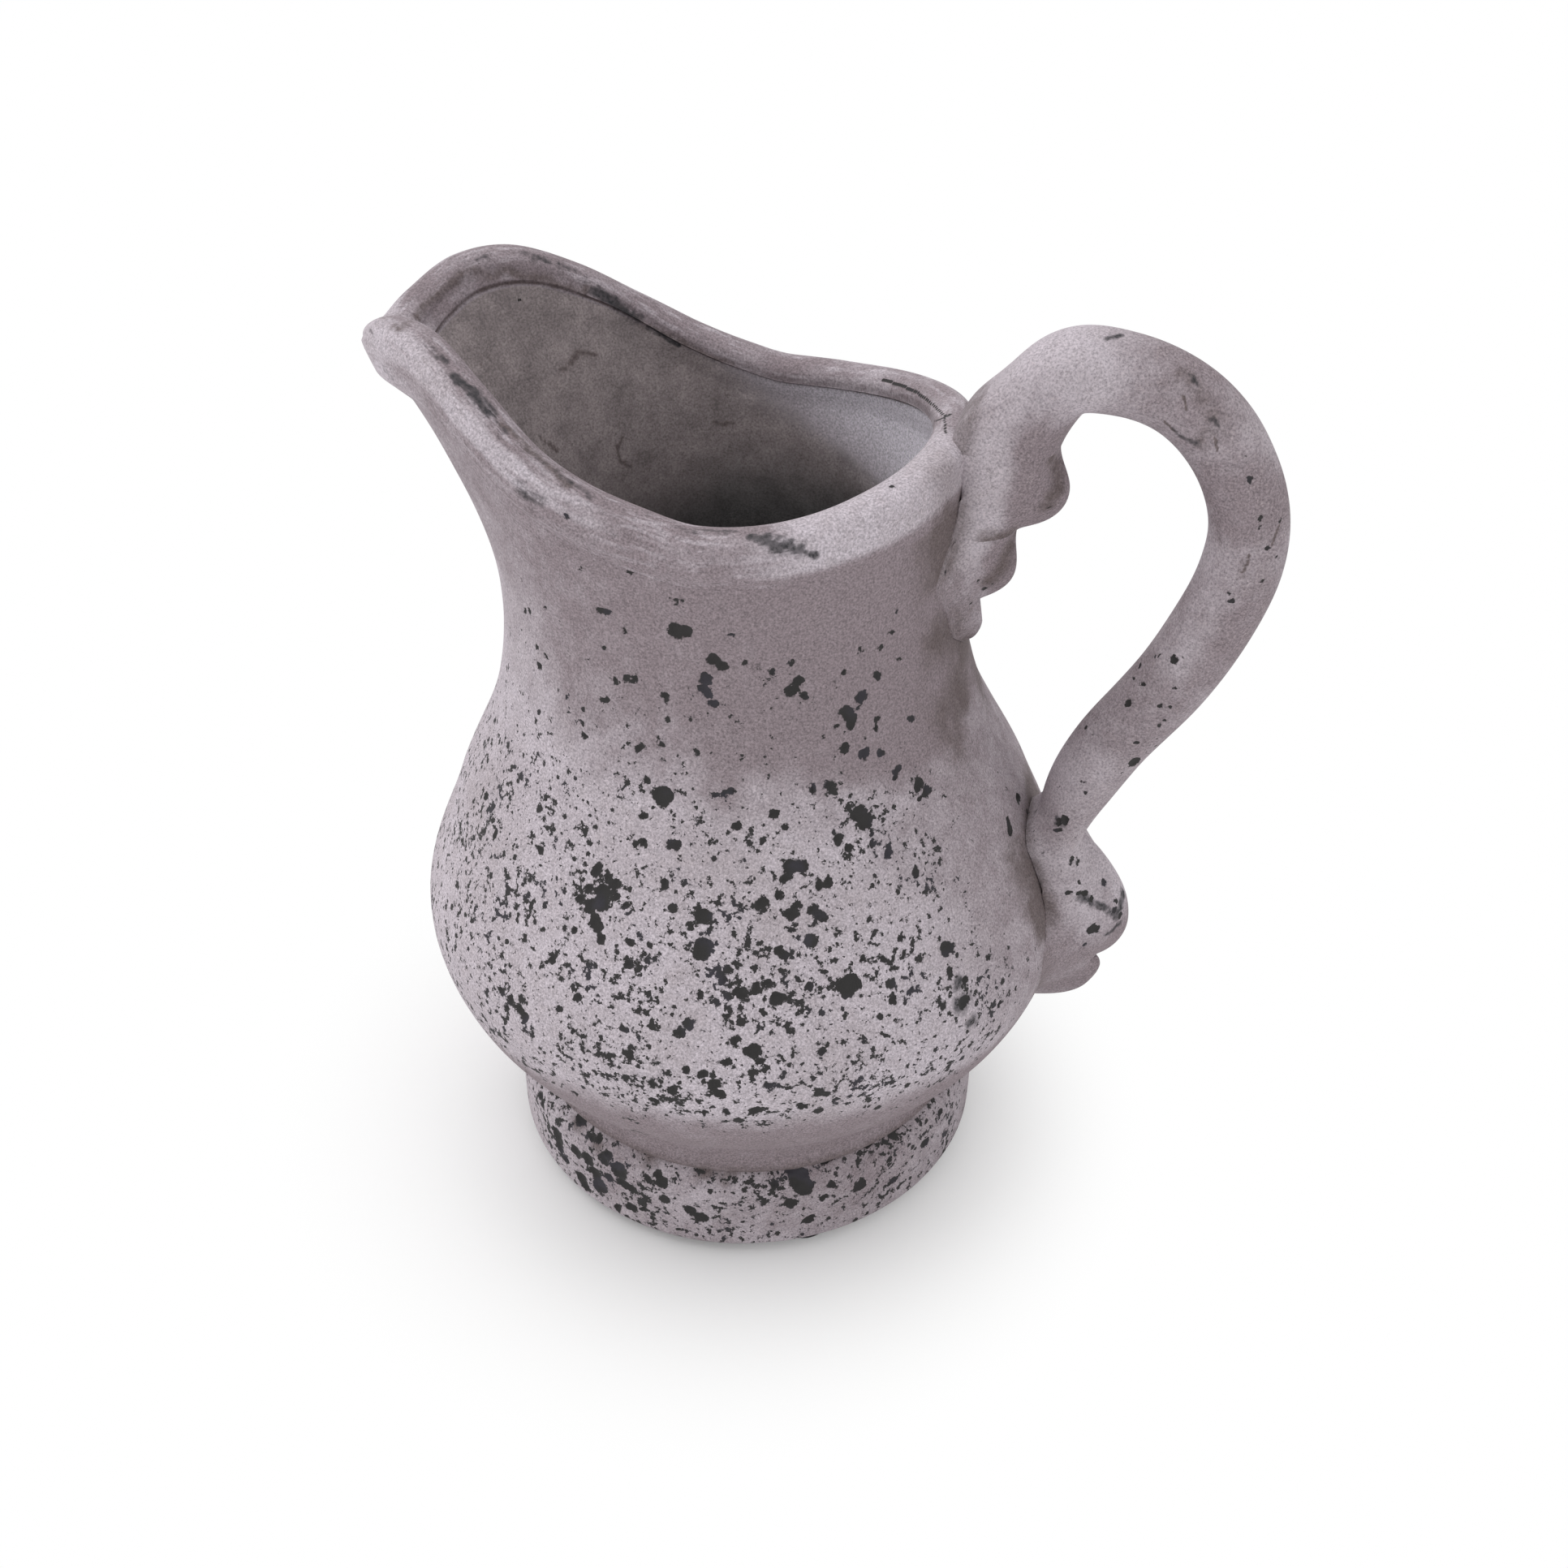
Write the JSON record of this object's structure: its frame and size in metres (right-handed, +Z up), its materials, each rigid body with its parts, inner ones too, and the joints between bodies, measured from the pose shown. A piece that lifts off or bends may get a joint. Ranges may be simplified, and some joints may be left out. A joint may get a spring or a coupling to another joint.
{
  "type": "pitcher",
  "caption": "Round-bellied stoneware pitcher on a foot ring, with a rolled rim drawn out into a pouring lip and a looped handle landing on stacked scrolls.",
  "frame": {"origin": "on the axis of the belly, in the plane of the pads that the pitcher stands on", "axes": "+Z up along the axis of the belly, +X towards the handle, the lip towards -X"},
  "size_m": [0.1769, 0.143, 0.2031],
  "materials": {
    "stoneware": "matt unglazed stone-grey body with dark pits and specks",
    "pad_rubber": "matt black stick-on pad"
  },
  "bodies": {
    "root": {"body": "stoneware", "rim_band": "stoneware", "foot_ring": "stoneware", "handle": "stoneware", "upper_scroll_large": "stoneware", "upper_scroll_middle": "stoneware", "upper_scroll_small": "stoneware", "lower_scroll_large": "stoneware", "lower_scroll_small": "stoneware", "foot_pad_1": "pad_rubber", "foot_pad_2": "pad_rubber", "foot_pad_3": "pad_rubber"}
  },
  "joints": []
}
